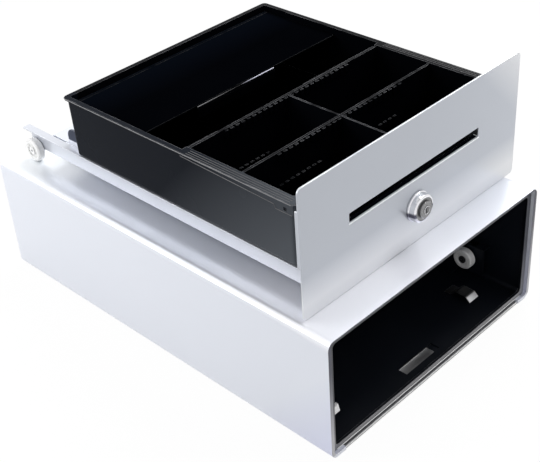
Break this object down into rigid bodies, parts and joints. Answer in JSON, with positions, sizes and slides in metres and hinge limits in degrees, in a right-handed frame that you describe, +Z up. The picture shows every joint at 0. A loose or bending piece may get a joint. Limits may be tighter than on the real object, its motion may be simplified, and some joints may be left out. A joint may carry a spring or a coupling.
{
  "type": "cash drawer",
  "caption": "Small steel cash drawer taken out of its housing and stood on the roof: front panel with slip slot and lock, black insert tray, rear wheels, open housing with rollers.",
  "frame": {"origin": "middle of the flat underside of the housing", "axes": "+Z up, -Y towards the housing's open front, +X to the right seen from the front"},
  "size_m": [0.2719, 0.403, 0.2283],
  "materials": {
    "cover_paint": "satin",
    "drawer_paint": "satin",
    "bottom_paint": "matte",
    "chassis_black": "matte",
    "frame_steel": "satin",
    "zinc_steel": "satin",
    "lock_chrome": "polished",
    "tray_plastic": "gloss",
    "white_nylon": "satin",
    "dark_pin": "dark oxide",
    "coil_winding": "enamelled wire",
    "socket_plastic": "satin"
  },
  "bodies": {
    "housing": {"outer_cover": "cover_paint", "bottom_plate": "bottom_paint", "inner_chassis": "chassis_black", "front_frame": "frame_steel", "rear_panel": "cover_paint", "rear_socket": "socket_plastic", "runner_left": "chassis_black", "runner_right": "chassis_black", "roller_pin_left": "dark_pin", "roller_pin_right": "dark_pin", "stop_spring": "zinc_steel", "glide_block": "white_nylon", "latch_bracket": "zinc_steel", "latch_pin": "dark_pin", "solenoid_frame": "zinc_steel", "solenoid_coil": "coil_winding", "plunger_spring": "zinc_steel", "ejector_post": "dark_pin", "ejector_spring": "zinc_steel", "drawer_switch": "socket_plastic"},
    "roller_left": {"housing_roller_left": "white_nylon"},
    "roller_right": {"housing_roller_right": "white_nylon"},
    "latch": {"latch_hook": "zinc_steel"},
    "plunger": {"solenoid_plunger": "zinc_steel"},
    "ejector": {"ejector_lever": "zinc_steel"},
    "switch_arm": {"switch_lever": "zinc_steel"},
    "drawer": {"drawer_panel": "drawer_paint", "drawer_pan": "drawer_paint", "side_rail_left": "drawer_paint", "side_rail_right": "drawer_paint", "wheel_pin_left": "dark_pin", "wheel_pin_right": "dark_pin", "striker": "zinc_steel", "lock_barrel": "lock_chrome", "lock_nut": "zinc_steel"},
    "wheel_left": {"rear_wheel_left": "white_nylon"},
    "wheel_right": {"rear_wheel_right": "white_nylon"},
    "lock": {"lock_plug": "lock_chrome", "lock_cam": "zinc_steel", "cam_screw": "zinc_steel"},
    "tray": {"insert_tray": "tray_plastic"},
    "flap": {"bill_flap": "tray_plastic"},
    "divider_front": {"coin_divider_front": "tray_plastic"},
    "divider_rear": {"coin_divider_rear": "tray_plastic"}
  },
  "joints": [
    {"name": "drawer_slide", "type": "slide", "parent": "housing", "child": "drawer", "axis": [0, -1, 0], "range_m": [0, 0.3]},
    {"name": "rear_wheel_left_spin", "type": "hinge", "parent": "drawer", "child": "wheel_left", "pos_m": [-0.1078, 0.1756, 0.1263], "axis": [1, 0, 0], "continuous": true},
    {"name": "rear_wheel_right_spin", "type": "hinge", "parent": "drawer", "child": "wheel_right", "pos_m": [0.1226, 0.1756, 0.1263], "axis": [1, 0, 0], "continuous": true},
    {"name": "lock_turn", "type": "hinge", "parent": "drawer", "child": "lock", "pos_m": [0.0064, -0.1714, 0.1488], "axis": [0, 1, 0], "range_deg": [0, 90]},
    {"name": "tray_lift", "type": "slide", "parent": "drawer", "child": "tray", "axis": [0, 0, 1], "range_m": [0, 0.08]},
    {"name": "flap_hinge", "type": "hinge", "parent": "tray", "child": "flap", "pos_m": [0.006, 0.0978, 0.1984], "axis": [-1, 0, 0], "range_deg": [0, 85]},
    {"name": "divider_front_lift", "type": "slide", "parent": "tray", "child": "divider_front", "axis": [0, 0, 1], "range_m": [0, 0.055]},
    {"name": "divider_rear_lift", "type": "slide", "parent": "tray", "child": "divider_rear", "axis": [0, 0, 1], "range_m": [0, 0.055]},
    {"name": "roller_left_spin", "type": "hinge", "parent": "housing", "child": "roller_left", "pos_m": [-0.1153, -0.1435, 0.0245], "axis": [1, 0, 0], "continuous": true},
    {"name": "roller_right_spin", "type": "hinge", "parent": "housing", "child": "roller_right", "pos_m": [0.1153, -0.1435, 0.0245], "axis": [1, 0, 0], "continuous": true},
    {"name": "latch_release", "type": "hinge", "parent": "housing", "child": "latch", "pos_m": [0, 0.1495, 0.0545], "axis": [-1, 0, 0], "range_deg": [0, 9]},
    {"name": "plunger_pull", "type": "slide", "parent": "housing", "child": "plunger", "axis": [0, 0, -1], "range_m": [0, 0.0039], "stiffness_N_per_m": 60, "springref_m": -0.006, "deforming": ["plunger_spring"]},
    {"name": "ejector_swing", "type": "hinge", "parent": "housing", "child": "ejector", "pos_m": [-0.045, 0.172, 0.027], "axis": [0, 0, -1], "range_deg": [0, 38], "stiffness_Nm_per_rad": 0.05, "springref_deg": -22.92, "deforming": ["ejector_spring"]},
    {"name": "switch_press", "type": "hinge", "parent": "housing", "child": "switch_arm", "pos_m": [0.058, 0.1566, 0.0299], "axis": [1, 0, 0], "range_deg": [0, 12], "stiffness_Nm_per_rad": 0.002, "springref_deg": -28.65}
  ],
  "couplings": [
    {"joint": "rear_wheel_left_spin", "follows": "drawer_slide", "rad_per_m": 90.909},
    {"joint": "rear_wheel_right_spin", "follows": "drawer_slide", "rad_per_m": 90.909},
    {"joint": "latch_release", "follows": "plunger_pull", "rad_per_m": 40}
  ]
}
